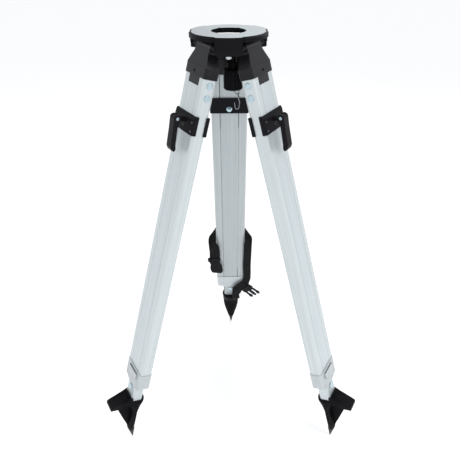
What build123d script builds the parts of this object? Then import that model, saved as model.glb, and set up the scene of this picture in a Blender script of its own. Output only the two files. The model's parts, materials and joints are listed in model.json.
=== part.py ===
"""Surveyor tripod: a round head on three hinged legs, each with a sliding lower section.

Frame: millimetres, +Z up, origin at the centre of the head's machined top face.
Each leg is modelled upright in its own leg frame and then tilted and turned into place:
X points outward, Y sideways, Z up along the leg, and the origin is the hinge axis.
"""

import math
import os

from build123d import *

# ---- driving dimensions ----
HEAD_RADIUS = 82.5
HEAD_THICKNESS = 10.0
HEAD_OPENING_RADIUS = 36.5
LEG_WIDTH = 87.5
LEG_THICKNESS = 30.5
LEG_LENGTH = 1078.0
LEG_TILT = 16.04
HINGE_RADIUS = 50.0
HINGE_DEPTH = 24.0
SCREW_RADIUS = 7.94
RUN_CLEARANCE = 0.05

# ---- derived sizes ----
HALF_WIDTH = LEG_WIDTH / 2
HALF_THICK = LEG_THICKNESS / 2
LEG_AZIMUTHS = {"rear": 90.0, "left": 210.0, "right": 330.0}
LUG_AZIMUTHS = (30.0, 150.0, 270.0)

# ---- head ----
RIM_BEVEL = 3.0
RIM_INSET = 5.0
RIM_LAND_HALF = 27.0
NOTCH_RADIUS = 4.0
NOTCH_ANGLE = 33.0
LUG_BOTTOM = 35.5
LUG_HALF = 28.5
LUG_FACE = 30.7
LUG_INNER = 41.0
LUG_ROUND = 4.5
LUG_SEAM = 0.8
KNUCKLE_RADIUS = 9.5
KNUCKLE_END = 46.0
BOSS_RADIUS = 9.0
BOSS_REACH = 50.0
OUTER_SCREW_REACH = 73.0
PIN_RADIUS = 5.0
PIN_HALF = 58.0
LUG_SCREW_RADIUS = 3.0
LUG_SCREW_HEAD = 6.0
LUG_SCREW_HEAD_HEIGHT = 4.0
LUG_SCREW_TOP = 15.0

# ---- swing arm, bushing, screw and knob ----
ARM_TOP = LUG_BOTTOM + 0.3
ARM_THICKNESS = 6.0
ARM_HALF = 14.5
ARM_SHOULDER = 26.0
SLOT_NEAR = 36.6
SLOT_FAR = 66.0
BUSHING_RADIUS = 10.0
BUSHING_FLANGE = 12.5
BUSHING_FLANGE_HEIGHT = 3.0
SCREW_OFFSET = 9.0
SCREW_TOP = 7.5
SHOULDER_RADIUS = 11.0
SHOULDER_HEIGHT = 3.0
WASHER_HEIGHT = 1.5
KNOB_RADIUS = 21.0
KNOB_TOP = 62.0
KNOB_BOTTOM = 120.0
KNOB_SHOULDER = 76.0
KNOB_NECK_RADIUS = 14.0
KNOB_FLUTES = 10
KNOB_FLUTE_RADIUS = 3.4
KNOB_SOCKET_DEPTH = 34.0
WIRE_RADIUS = 0.85
HOOK_X = 19.0
BAIL_HALF = 2.6
BAIL_DEPTH = 129.0
HOOK_LOOP_RADIUS = 3.6

# ---- upper leg ----
BARREL_RADIUS = 9.6
BARREL_HALF = 30.2
CAP_NECK_DEPTH = 14.5
BAND_TOP = 41.0
BAND_BOTTOM = 62.0
BAND_LIP = 1.5
TAB_BOTTOM = 78.0
FINGER_BOTTOM = 112.0
PANEL_HALF = 21.7
PANEL_INSET = 0.25
RAIL_INNER = 22.7
RAIL_WALL = 1.6
RAIL_ROUND = 6.5
GUIDE_HALF = 2.0
CAP_BOLT_DEPTHS = (74.0, 99.5)
CAP_BOLT_RADIUS = 3.0
CAP_BOLT_HEAD = 7.0
CAP_BOLT_HEAD_HEIGHT = 3.0
COLLAR_TOP = 821.0
COLLAR_FLOOR = 860.0
COLLAR_BOTTOM = 875.0
COLLAR_WALL = 1.5
COLLAR_NECK_HALF = 25.0
COLLAR_SHOULDER_HALF = 40.0
PAD_DROP = 9.0
PAD_HEIGHT = 19.0
PAD_HALF = 25.0
PAD_REACH = 3.6

# ---- lower leg ----
PANEL_TOP = 79.0
PANEL_BOTTOM = 936.0
NECK_TOP = 875.0
NECK_ROUND = 6.0
PANEL_WALL = 1.5
GUIDE_BOTTOM = 235.0
GUIDE_REACH = 30.0
CLAMP_TOP = 139.0
CLAMP_BOTTOM = 179.5
CLAMP_HALF = 46.6
CLAMP_GAP = 0.35
CLAMP_SLOPE = 8.0
CLAMP_FRONT_FACE = 20.0
CLAMP_BACK_FACE = 18.4
CLAMP_WRAP = 9.0
CLAMP_PAD_HALF = 20.0
CLAMP_BOLT_DEPTH = 167.0
CLAMP_BOLT_RADIUS = 3.0
BOLT_HEAD_RADIUS = 4.5
BOLT_HEAD_SINK = 3.0
PLATE_SCREW_RADIUS = 1.6
PLATE_SCREW_PLACES = ((39.5, 152.5), (39.5, 171.5))
LEVER_PIVOT = (39.5, -155.5)
LEVER_PIN_RADIUS = 3.0
LEVER_HALF = 10.5
LEVER_WALL = 2.5
LEVER_HUB_RADIUS = 8.2
EAR_HALF = 7.4
EAR_RADIUS = 5.6
EAR_NECK_HALF = 4.0
BOOT_TOP = 912.0
BOOT_RIM_DROP = 14.5
BOOT_WEB_HALF = 3.5
PEDAL_ROOT_HALF = 24.0
PEDAL_HALF = 17.5
SPIKE_RADIUS = 8.5
SPIKE_TIP_RADIUS = 1.0
SPIKE_TIP = (-22.0, -LEG_LENGTH)
FOOT_BOLT_DEPTH = 887.0
FOOT_BOLT_RADIUS = 3.0
FOOT_BOLT_HEAD = 8.5
FOOT_BOLT_HEAD_HEIGHT = 2.5

# ---- strap on the rear leg ----
STRAP_TOP = 608.0
STRAP_THICKNESS = 1.8
STRAP_FRONT = -22.0
STRAP_TAIL = -29.5
STRAP_CLEAR = 47.4
SOCKET_FRONT = 5.2
SOCKET_BACK = 2.8
SOCKET_MIDDLE = 54.0
SOCKET_DEPTH = 714.0
PLUG_MIDDLE = -50.0
PLUG_DEPTH = 869.0
PLUG_TURN = -40.0
PRONG_REACH = 50.0
ANCHOR_HALF = 7.0
ANCHOR_LENGTH = 60.0


def box_span(x, y, z):
    """A box between the given low and high values along each axis."""
    size = (x[1] - x[0], y[1] - y[0], z[1] - z[0])
    middle = ((x[0] + x[1]) / 2, (y[0] + y[1]) / 2, (z[0] + z[1]) / 2)
    return Pos(*middle) * Box(*size)


def prism_y(points, half):
    """An outline in X and Z, as thick as half to each side along Y."""
    return extrude(Plane.XZ * make_face(Polyline(*points, close=True)), amount=half, both=True)


def prism_x(points, low, high):
    """An outline in Y and Z, between two values of X."""
    return Pos(low, 0, 0) * extrude(Plane.YZ * make_face(Polyline(*points, close=True)), amount=high - low)


def prism_z(points, low, high):
    """An outline in X and Y, between two heights."""
    return Pos(0, 0, low) * extrude(make_face(Polyline(*points, close=True)), amount=high - low)


def rod(start, end, radius, end_radius=None):
    """A round bar, or a cone if it has an end radius, from one point to another."""
    along = Vector(*end) - Vector(*start)
    place = Plane(origin=start, z_dir=along)
    align = (Align.CENTER, Align.CENTER, Align.MIN)
    if end_radius is None:
        return place * Cylinder(radius, along.length, align=align)
    return place * Cone(radius, end_radius, along.length, align=align)


def disc(radius, low, high, x=0.0, y=0.0):
    """An upright cylinder between two heights."""
    return rod((x, y, low), (x, y, high), radius)


def mirrored(points):
    """The right-hand half of an outline, given from top to bottom, closed by its mirror image."""
    return list(points) + [(-a, b) for a, b in reversed(points)]


def mirrored_x(points):
    """The half of an outline with Y above zero, closed by its mirror image below."""
    return list(points) + [(a, -b) for a, b in reversed(points)]


# ---- head parts ----
def pin_axes(radius):
    """Three bars along the leg hinges."""
    bar = Pos(HINGE_RADIUS, 0, -HINGE_DEPTH) * rod((0, -PIN_HALF, 0), (0, PIN_HALF, 0), radius)
    return [Rot(0, 0, azimuth) * bar for azimuth in LEG_AZIMUTHS.values()]


def lug_blank(top, bottom, half):
    """One lug at azimuth 0: a wedge between two leg caps, with a boss at its inner end."""
    slope = math.tan(math.radians(60))
    apex = LUG_FACE / math.sin(math.radians(60))
    reach = HEAD_RADIUS + 5
    spread = slope * (reach - apex)
    wedge = prism_z([(apex, 0), (reach, spread), (reach, -spread)], -bottom, -top)
    wedge = wedge & disc(HEAD_RADIUS, -bottom, -top)
    wedge = wedge & box_span((LUG_INNER, reach), (-half, half), (-bottom, -top))
    return wedge + disc(BOSS_RADIUS, -bottom, -top, x=BOSS_REACH)


def lug_knuckles(low, high):
    """The round eyes of one lug that carry the ends of two hinge pins, between two heights."""
    layer = box_span((0, HEAD_RADIUS), (-HEAD_RADIUS, HEAD_RADIUS), (low, high))
    knuckles = []
    for side in (-1, 1):
        eye = rod((0, -side * LUG_FACE, 0), (0, -side * KNUCKLE_END, 0), KNUCKLE_RADIUS)
        knuckles.append((Rot(0, 0, 60 * side) * Pos(HINGE_RADIUS, 0, -HINGE_DEPTH) * eye) & layer)
    return knuckles


def make_head_plate():
    plate = disc(HEAD_RADIUS, -HEAD_THICKNESS, 0)
    bevel = disc(HEAD_RADIUS + 5, -RIM_BEVEL, 1) - rod(
        (0, 0, -RIM_BEVEL), (0, 0, 1), HEAD_RADIUS, HEAD_RADIUS - RIM_INSET * 4 / 3
    )
    for azimuth in LUG_AZIMUTHS:
        land = box_span((0, HEAD_RADIUS + 6), (-RIM_LAND_HALF, RIM_LAND_HALF), (-RIM_BEVEL - 1, 2))
        bevel -= Rot(0, 0, azimuth) * land
    plate -= bevel
    lug = lug_blank(HEAD_THICKNESS, HINGE_DEPTH, LUG_HALF)
    for knuckle in lug_knuckles(-HINGE_DEPTH, -HEAD_THICKNESS):
        lug += knuckle
    for reach in (BOSS_REACH, OUTER_SCREW_REACH):
        lug -= disc(LUG_SCREW_RADIUS, -HINGE_DEPTH - 1, -LUG_SCREW_TOP, x=reach)
    for azimuth in LUG_AZIMUTHS:
        plate += Rot(0, 0, azimuth) * lug
    plate -= disc(HEAD_OPENING_RADIUS, -HEAD_THICKNESS - 1, 1)
    for side in (-1, 1):
        angle = math.radians(90 + side * NOTCH_ANGLE)
        x = HEAD_OPENING_RADIUS * math.cos(angle)
        y = HEAD_OPENING_RADIUS * math.sin(angle)
        plate -= disc(NOTCH_RADIUS, -HEAD_THICKNESS - 1, 1, x, y)
    for bar in pin_axes(PIN_RADIUS + RUN_CLEARANCE):
        plate -= bar
    return plate


def make_lug_caps():
    caps = []
    for azimuth in LUG_AZIMUTHS:
        cap = lug_blank(HINGE_DEPTH, LUG_BOTTOM, LUG_HALF - LUG_SEAM)
        cap = cap & disc(HEAD_RADIUS - LUG_SEAM, -LUG_BOTTOM, -HINGE_DEPTH)
        corner = box_span((0, HEAD_RADIUS), (LUG_SEAM - LUG_HALF, LUG_HALF - LUG_SEAM), (-LUG_BOTTOM, 0))
        low_edges = corner.edges().filter_by(Axis.X).sort_by(Axis.Z)[:2]
        cap = cap & fillet(low_edges, LUG_ROUND)
        for knuckle in lug_knuckles(-LUG_BOTTOM, -HINGE_DEPTH):
            cap += knuckle
        for reach in (BOSS_REACH, OUTER_SCREW_REACH):
            cap -= disc(LUG_SCREW_RADIUS, -LUG_BOTTOM - 1, -HINGE_DEPTH + 1, x=reach)
        cap = Rot(0, 0, azimuth) * cap
        for bar in pin_axes(PIN_RADIUS + RUN_CLEARANCE):
            cap -= bar
        caps.append(cap)
    return caps


def lug_screw(reach, head_top):
    """One screw standing under a lug, with its head's upper face at the given depth."""
    shank = disc(LUG_SCREW_RADIUS, -head_top, -LUG_SCREW_TOP, x=reach)
    head = disc(LUG_SCREW_HEAD, -head_top - LUG_SCREW_HEAD_HEIGHT, -head_top, x=reach)
    socket = disc(LUG_SCREW_HEAD / 2, -head_top - LUG_SCREW_HEAD_HEIGHT, -head_top - 2, x=reach)
    return shank + head - socket


def make_lug_screws():
    """Two screws under each lug; the inner one of the front lug is also the swing arm's pivot."""
    screws = []
    for azimuth in LUG_AZIMUTHS:
        pivot_depth = ARM_TOP + ARM_THICKNESS + 0.2
        inner_depth = pivot_depth if azimuth == 270.0 else LUG_BOTTOM
        screws.append(Rot(0, 0, azimuth) * lug_screw(BOSS_REACH, inner_depth))
        screws.append(Rot(0, 0, azimuth) * lug_screw(OUTER_SCREW_REACH, LUG_BOTTOM))
    return screws


def arm_place():
    """Moves the arm's own frame, with its pivot at the origin and its slot along X, into place."""
    swing = math.degrees(math.atan2(BOSS_REACH, SCREW_OFFSET))
    return Pos(0, -BOSS_REACH, 0) * Rot(0, 0, swing)


def make_swing_arm():
    low = -ARM_TOP - ARM_THICKNESS
    high = -ARM_TOP
    outline = [(0, BOSS_RADIUS - 0.2), (ARM_SHOULDER, ARM_HALF), (SLOT_FAR, ARM_HALF)]
    outline += [(a, -b) for a, b in reversed(outline)]
    arm = prism_z(outline, low, high) + disc(BOSS_RADIUS - 0.2, low, high)
    arm += disc(ARM_HALF, low, high, x=SLOT_FAR)
    slot_half = BUSHING_RADIUS + 0.1
    arm -= box_span((SLOT_NEAR, SLOT_FAR), (-slot_half, slot_half), (low - 1, high + 1))
    for end in (SLOT_NEAR, SLOT_FAR):
        arm -= disc(slot_half, low - 1, high + 1, x=end)
    arm -= disc(LUG_SCREW_RADIUS + RUN_CLEARANCE, low - 1, high + 1)
    return arm_place() * arm


def make_screw_bushing():
    top = -ARM_TOP + 0.1 + BUSHING_FLANGE_HEIGHT
    bushing = disc(BUSHING_FLANGE, top - BUSHING_FLANGE_HEIGHT, top, x=SCREW_OFFSET)
    bushing += disc(BUSHING_RADIUS, -ARM_TOP - ARM_THICKNESS - 1, top, x=SCREW_OFFSET)
    bushing -= disc(SCREW_RADIUS + RUN_CLEARANCE, -KNOB_TOP, top + 1, x=SCREW_OFFSET)
    return bushing


def make_thrust_washer():
    """The washer between the bushing and the screw's shoulder; it rises with the screw."""
    low = -ARM_TOP + 0.2 + BUSHING_FLANGE_HEIGHT
    washer = disc(SHOULDER_RADIUS, low, low + WASHER_HEIGHT, x=SCREW_OFFSET)
    return washer - disc(SCREW_RADIUS + RUN_CLEARANCE, low - 1, low + WASHER_HEIGHT + 1, x=SCREW_OFFSET)


def make_instrument_screw():
    """The 5/8 inch screw, its shoulder resting on the washer; the thread is a plain cylinder."""
    seat = -ARM_TOP + 0.3 + BUSHING_FLANGE_HEIGHT + WASHER_HEIGHT
    screw = disc(SCREW_RADIUS, -KNOB_TOP - KNOB_SOCKET_DEPTH, -SCREW_TOP, x=SCREW_OFFSET)
    screw = chamfer(screw.edges().sort_by(Axis.Z)[-1], 1.2)
    return screw + disc(SHOULDER_RADIUS, seat, seat + SHOULDER_HEIGHT, x=SCREW_OFFSET)


def make_screw_knob():
    knob = disc(KNOB_RADIUS, -KNOB_BOTTOM, -KNOB_SHOULDER)
    knob = chamfer(knob.edges().filter_by(GeomType.CIRCLE), 2.5)
    for count in range(KNOB_FLUTES):
        angle = 2 * math.pi * count / KNOB_FLUTES
        reach = KNOB_RADIUS + KNOB_FLUTE_RADIUS / 2
        x = reach * math.cos(angle)
        y = reach * math.sin(angle)
        knob -= disc(KNOB_FLUTE_RADIUS, -KNOB_BOTTOM - 1, -KNOB_SHOULDER + 1, x, y)
    knob += disc(KNOB_NECK_RADIUS, -KNOB_SHOULDER - 1, -KNOB_TOP)
    knob -= disc(SCREW_RADIUS, -KNOB_TOP - KNOB_SOCKET_DEPTH, -KNOB_TOP + 1)
    return Pos(SCREW_OFFSET, 0, 0) * knob


def bent_wire(points, bend):
    """A round wire along straight runs joined by arcs."""
    path = FilletPolyline(*points, radius=bend)
    section = Plane(origin=path @ 0, z_dir=path % 0) * Circle(WIRE_RADIUS)
    return sweep(section, path=path)


def make_knob_bail():
    """A wire bail let into the knob's lower end, for the plumb hook."""
    low = -BAIL_DEPTH - BAIL_HALF
    anchor = -KNOB_BOTTOM + 3
    points = [
        (SCREW_OFFSET - 5, 0, anchor),
        (HOOK_X - BAIL_HALF, 0, low),
        (HOOK_X + BAIL_HALF, 0, low),
        (HOOK_X + 3, 0, anchor),
    ]
    return bent_wire(points, BAIL_HALF * 0.75)


def make_plumb_hook():
    """A ring through the bail and an open hook under it."""
    ring_top = -BAIL_DEPTH - 0.7
    ring_middle = ring_top - HOOK_LOOP_RADIUS
    ring = Pos(HOOK_X, 0, ring_middle) * (Rot(0, 90, 0) * Torus(HOOK_LOOP_RADIUS, WIRE_RADIUS))
    stem_top = ring_middle - HOOK_LOOP_RADIUS
    points = [
        (HOOK_X, 0, stem_top),
        (HOOK_X + 4.5, 0, stem_top - 13),
        (HOOK_X + 2, 0, stem_top - 28),
        (HOOK_X - 5, 0, stem_top - 28),
        (HOOK_X - 7, 0, stem_top - 14),
    ]
    return ring + bent_wire(points, 4.0)


# ---- upper leg parts ----
def make_cap():
    """Black casting: hinge barrel, leaning body, band, centre tab and the fingers in the rails."""
    barrel = rod((0, -BARREL_HALF, 0), (0, BARREL_HALF, 0), BARREL_RADIUS)
    lip_x = HALF_THICK + BAND_LIP
    lip_y = HALF_WIDTH + BAND_LIP
    lean = BARREL_RADIUS - 0.5
    side = [(lean, -3), (HALF_THICK + 0.3, -BAND_TOP), (-HALF_THICK, -BAND_TOP), (-lean, -3)]
    front = mirrored([(BARREL_HALF, 0), (BARREL_HALF, -CAP_NECK_DEPTH), (HALF_WIDTH + 0.3, -BAND_TOP)])
    body = prism_y(side, HALF_WIDTH + 1) & prism_x(front, -30, 30)
    band = box_span((-lip_x, lip_x), (-lip_y, lip_y), (-BAND_BOTTOM, -BAND_TOP))
    band = fillet(band.edges().filter_by(Axis.Z), RAIL_ROUND)
    cap = barrel + body + band
    tab_half = RAIL_INNER - 0.6
    cap += box_span((-HALF_THICK + 1, HALF_THICK - 0.2), (-tab_half, tab_half), (-TAB_BOTTOM, -BAND_BOTTOM))
    finger_in = GUIDE_REACH + 1.5
    finger_out = HALF_WIDTH - RAIL_WALL - 0.05
    finger_x = HALF_THICK - RAIL_WALL - 0.1
    for sign in (-1, 1):
        ends = sorted((sign * finger_in, sign * finger_out))
        finger = box_span((-finger_x, finger_x), ends, (-FINGER_BOTTOM, -BAND_BOTTOM + 1))
        outer_edges = finger.edges().filter_by(Axis.Z).sort_by(Axis.Y)
        corners = outer_edges[-2:] if sign > 0 else outer_edges[:2]
        cap += fillet(corners, RAIL_ROUND - RAIL_WALL + 0.3)
        for depth in CAP_BOLT_DEPTHS:
            hole_start = (0, sign * (finger_in + 1), -depth)
            cap -= rod(hole_start, (0, sign * (finger_out + 1), -depth), CAP_BOLT_RADIUS)
    slot = box_span((lip_x - 1.5, lip_x + 1), (-6, 6), (-55, -50.5))
    cap -= slot
    cap -= rod((0, -BARREL_HALF - 1, 0), (0, BARREL_HALF + 1, 0), PIN_RADIUS + RUN_CLEARANCE)
    return cap


def make_rail(sign):
    """One side rail: a round-edged channel, open towards the middle where the guide runs."""
    top = -BAND_BOTTOM
    low = -COLLAR_FLOOR + 0.2
    outer = box_span((-HALF_THICK, HALF_THICK), (RAIL_INNER, HALF_WIDTH), (low, top))
    edges = outer.edges().filter_by(Axis.Z).sort_by(Axis.Y)
    outer = fillet(edges[-2:], RAIL_ROUND)
    outer = chamfer(outer.edges().filter_by(Axis.Z).sort_by(Axis.Y)[:2], 1.0)
    inner_x = HALF_THICK - RAIL_WALL
    hollow = box_span((-inner_x, inner_x), (RAIL_INNER + RAIL_WALL, HALF_WIDTH - RAIL_WALL), (low - 1, top + 1))
    hollow = fillet(hollow.edges().filter_by(Axis.Z).sort_by(Axis.Y)[-2:], RAIL_ROUND - RAIL_WALL)
    mouth_half = GUIDE_HALF + 0.6
    mouth = box_span((-mouth_half, mouth_half), (RAIL_INNER - 1, RAIL_INNER + RAIL_WALL + 1), (low - 1, top + 1))
    rail = outer - hollow - mouth
    for depth in CAP_BOLT_DEPTHS:
        rail -= rod((0, HALF_WIDTH - RAIL_WALL - 1, -depth), (0, HALF_WIDTH + 1, -depth), CAP_BOLT_RADIUS)
    return rail if sign > 0 else mirror(rail, about=Plane.XZ)


def make_cap_bolts():
    """Four bolts with low domed heads, two through the side of each rail into the cap's fingers."""
    bolts = []
    for sign in (-1, 1):
        for depth in CAP_BOLT_DEPTHS:
            shank_start = (0, sign * (GUIDE_REACH + 5), -depth)
            shank = rod(shank_start, (0, sign * HALF_WIDTH, -depth), CAP_BOLT_RADIUS)
            outer = sign * (HALF_WIDTH + CAP_BOLT_HEAD_HEIGHT)
            head = rod((0, sign * HALF_WIDTH, -depth), (0, outer, -depth), CAP_BOLT_HEAD)
            rim = head.edges().filter_by(GeomType.CIRCLE).sort_by(Axis.Y)[-1 if sign > 0 else 0]
            bolts.append(shank + fillet(rim, CAP_BOLT_HEAD_HEIGHT * 0.8))
    return bolts


def make_collar():
    """Light casting closed round the lower ends of both rails, with a window for the centre panel."""
    out_x = HALF_THICK + COLLAR_WALL
    out_y = HALF_WIDTH + COLLAR_WALL
    shoulder = COLLAR_BOTTOM - 11
    front = mirrored(
        [(out_y, -COLLAR_TOP), (out_y - 1, -shoulder), (COLLAR_SHOULDER_HALF, -shoulder - 6),
         (COLLAR_NECK_HALF + 1, -shoulder - 7), (COLLAR_NECK_HALF, -COLLAR_BOTTOM)]
    )
    collar = prism_x(front, -out_x, out_x)
    round_block = box_span((-out_x, out_x), (-out_y, out_y), (-COLLAR_BOTTOM, -COLLAR_TOP))
    collar = collar & fillet(round_block.edges().filter_by(Axis.Z), RAIL_ROUND + COLLAR_WALL)
    pocket_y = HALF_WIDTH + 0.05
    pocket_x = HALF_THICK + 0.05
    pocket = box_span((-pocket_x, pocket_x), (-pocket_y, pocket_y), (-COLLAR_FLOOR, -COLLAR_TOP + 1))
    collar -= fillet(pocket.edges().filter_by(Axis.Z), RAIL_ROUND)
    window_y = PANEL_HALF + 0.4
    window_x = HALF_THICK - PANEL_INSET + 0.3
    collar -= box_span((-window_x, window_x), (-window_y, window_y), (-COLLAR_BOTTOM - 1, -COLLAR_FLOOR + 1))
    pad_top = -COLLAR_TOP - PAD_DROP
    pad = box_span((HALF_THICK + 1, out_x + PAD_REACH), (-PAD_HALF, PAD_HALF), (pad_top - PAD_HEIGHT, pad_top))
    low_corners = pad.edges().filter_by(Axis.X).sort_by(Axis.Z)[:2]
    pad = fillet(low_corners, PAD_HEIGHT / 2)
    slot_half = PAD_HALF - 2
    pad_slot = box_span((out_x + 0.3, out_x + PAD_REACH - 1.3), (-slot_half, slot_half), (pad_top - 8, pad_top + 1))
    return collar + pad - pad_slot


# ---- lower leg parts ----
def tube(half_x, half_y, low, high, corner):
    """A rectangular tube standing on Z with rounded outer corners and an even wall."""
    outer = box_span((-half_x, half_x), (-half_y, half_y), (low, high))
    outer = fillet(outer.edges().filter_by(Axis.Z), corner)
    inner_x = half_x - PANEL_WALL
    inner_y = half_y - PANEL_WALL
    inner = box_span((-inner_x, inner_x), (-inner_y, inner_y), (low - 1, high + 1))
    return outer - fillet(inner.edges().filter_by(Axis.Z), max(corner - PANEL_WALL, 0.3))


def make_panel():
    """Hollow centre panel: square-cornered between the rails, rounder at its neck below them."""
    half_x = HALF_THICK - PANEL_INSET
    panel = tube(half_x, PANEL_HALF, -NECK_TOP, -PANEL_TOP, 0.8)
    panel += tube(half_x, PANEL_HALF, -PANEL_BOTTOM, -NECK_TOP + 4, NECK_ROUND)
    for sign in (-1, 1):
        ends = sorted((sign * (PANEL_HALF - 1), sign * GUIDE_REACH))
        panel += box_span((-GUIDE_HALF, GUIDE_HALF), ends, (-GUIDE_BOTTOM, -PANEL_TOP))
    for depth, radius in ((CLAMP_BOLT_DEPTH, CLAMP_BOLT_RADIUS), (FOOT_BOLT_DEPTH, FOOT_BOLT_RADIUS)):
        panel -= rod((-HALF_THICK - 1, 0, -depth), (HALF_THICK + 1, 0, -depth), radius)
    return panel


def clamp_plate(face, side):
    """A plate across the leg whose flanges wrap its corners; side is +1 outside, -1 inside."""
    inner_x = HALF_THICK + CLAMP_GAP
    x = sorted((side * CLAMP_WRAP, side * face))
    plate = box_span(x, (-CLAMP_HALF, CLAMP_HALF), (-CLAMP_BOTTOM, -CLAMP_TOP))
    plate = fillet(plate.edges().filter_by(Axis.Z).sort_by(Axis.X)[-2:] if side > 0
                   else plate.edges().filter_by(Axis.Z).sort_by(Axis.X)[:2], 4.0)
    grip_y = HALF_WIDTH + CLAMP_GAP
    cut_x = sorted((0, side * inner_x))
    grip = box_span(cut_x, (-grip_y, grip_y), (-CLAMP_BOTTOM - 1, -CLAMP_TOP + 1))
    corners = grip.edges().filter_by(Axis.Z).sort_by(Axis.X)
    plate -= fillet(corners[-2:] if side > 0 else corners[:2], RAIL_ROUND - 1.5)
    pad_x = sorted((side * (HALF_THICK - PANEL_INSET), side * (inner_x + 1)))
    plate += box_span(pad_x, (-CLAMP_PAD_HALF, CLAMP_PAD_HALF), (-CLAMP_BOTTOM + 3, -CLAMP_TOP - 3))
    bolt_end = side * (face + 3)
    return plate - rod((0, 0, -CLAMP_BOLT_DEPTH), (bolt_end, 0, -CLAMP_BOLT_DEPTH), CLAMP_BOLT_RADIUS)


def make_clamp_front():
    """Outer plate with the ear that carries the lever."""
    plate = clamp_plate(CLAMP_FRONT_FACE, 1)
    reach = CLAMP_FRONT_FACE - HALF_THICK - CLAMP_GAP
    slope = [(CLAMP_FRONT_FACE - reach + 0.6, -CLAMP_TOP), (CLAMP_FRONT_FACE + 1, -CLAMP_TOP),
             (CLAMP_FRONT_FACE + 1, -CLAMP_TOP - CLAMP_SLOPE - 2), (CLAMP_FRONT_FACE, -CLAMP_TOP - CLAMP_SLOPE)]
    plate -= prism_y(slope, CLAMP_HALF + 1)
    pivot_x, pivot_z = LEVER_PIVOT
    neck = (pivot_z - EAR_NECK_HALF, pivot_z + EAR_NECK_HALF)
    ear = box_span((CLAMP_FRONT_FACE - 1, pivot_x), (-EAR_HALF, EAR_HALF), neck)
    ear += rod((pivot_x, -EAR_HALF, pivot_z), (pivot_x, EAR_HALF, pivot_z), EAR_RADIUS)
    ear -= rod((pivot_x, -20, pivot_z), (pivot_x, 20, pivot_z), LEVER_PIN_RADIUS)
    plate += ear
    head_start = (CLAMP_FRONT_FACE - BOLT_HEAD_SINK, 0, -CLAMP_BOLT_DEPTH)
    plate -= rod(head_start, (pivot_x, 0, -CLAMP_BOLT_DEPTH), BOLT_HEAD_RADIUS + RUN_CLEARANCE)
    for y, depth in PLATE_SCREW_PLACES:
        for sign in (-1, 1):
            hole_start = (HALF_THICK, sign * y, -depth)
            plate -= rod(hole_start, (CLAMP_FRONT_FACE + 1, sign * y, -depth), PLATE_SCREW_RADIUS)
    return plate


def make_plate_screws():
    screws = []
    for y, depth in PLATE_SCREW_PLACES:
        for sign in (-1, 1):
            shank_start = (HALF_THICK + CLAMP_GAP + 0.3, sign * y, -depth)
            shank = rod(shank_start, (CLAMP_FRONT_FACE, sign * y, -depth), PLATE_SCREW_RADIUS)
            head_end = (CLAMP_FRONT_FACE + 1.4, sign * y, -depth)
            head = rod((CLAMP_FRONT_FACE, sign * y, -depth), head_end, PLATE_SCREW_RADIUS * 1.8)
            screws.append(shank + head)
    return screws


def make_clamp_bolt():
    """Through bolt, washer and nut: the head is sunk in the outer plate, the nut is inside."""
    depth = CLAMP_BOLT_DEPTH
    head_x = CLAMP_FRONT_FACE - BOLT_HEAD_SINK
    bolt = rod((-CLAMP_BACK_FACE - 7.5, 0, -depth), (head_x, 0, -depth), CLAMP_BOLT_RADIUS)
    bolt += rod((head_x, 0, -depth), (CLAMP_FRONT_FACE - 0.2, 0, -depth), BOLT_HEAD_RADIUS)
    washer = rod((-CLAMP_BACK_FACE - 1, 0, -depth), (-CLAMP_BACK_FACE, 0, -depth), 6.6)
    nut = Plane(origin=(-CLAMP_BACK_FACE - 1, 0, -depth), z_dir=(-1, 0, 0)) * RegularPolygon(5.0, 6)
    nut = extrude(nut, amount=4.8)
    clearance = rod((-40, 0, -depth), (40, 0, -depth), CLAMP_BOLT_RADIUS)
    return [bolt, washer - clearance, nut - clearance]


def make_lever_pin():
    pivot_x, pivot_z = LEVER_PIVOT
    reach = LEVER_HALF + 1.2
    pin = rod((pivot_x, -reach, pivot_z), (pivot_x, reach, pivot_z), LEVER_PIN_RADIUS - RUN_CLEARANCE)
    for sign in (-1, 1):
        start = (pivot_x, sign * (LEVER_HALF + 0.1), pivot_z)
        pin += rod(start, (pivot_x, sign * reach, pivot_z), LEVER_PIN_RADIUS + 0.4)
    return pin


def make_lever():
    """Cam lever: a round hub and two side walls joined by an outer wall, open towards the leg."""
    pivot_x, pivot_z = LEVER_PIVOT
    inner_half = LEVER_HALF - LEVER_WALL
    side = [(pivot_x + LEVER_HUB_RADIUS, pivot_z), (45.4, -179), (44.3, -200), (43.2, -218), (39.5, -225),
            (33.5, -227.5), (30.5, -225), (30.2, -220), (32, -213), (34.2, -187), (34.8, -172), (33.0, -160)]
    lever = prism_y(side, LEVER_HALF)
    lever += rod((pivot_x, -LEVER_HALF, pivot_z), (pivot_x, LEVER_HALF, pivot_z), LEVER_HUB_RADIUS)
    hub_room = EAR_RADIUS + 0.5
    cut = [(20, -224), (20, pivot_z + 12), (pivot_x + 5.5, pivot_z + 12), (pivot_x + 5.5, pivot_z),
           (43.2, -179), (42.1, -200), (41.0, -217), (38.5, -222), (34, -224)]
    lever -= prism_y(cut, inner_half)
    lever -= rod((pivot_x, -inner_half, pivot_z), (pivot_x, inner_half, pivot_z), hub_room)
    return lever - rod((pivot_x, -20, pivot_z), (pivot_x, 20, pivot_z), LEVER_PIN_RADIUS)


def spike_axis():
    """The spike stands upright in the room when the leg is spread: its direction in the leg frame."""
    tilt = math.radians(LEG_TILT)
    return (math.sin(tilt), math.cos(tilt))


def boot_section(depth, middle, half_x, half_y):
    """One oval section of the boot, level in the leg frame."""
    return Pos(middle, 0, -depth) * Ellipse(half_x, half_y)


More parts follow.
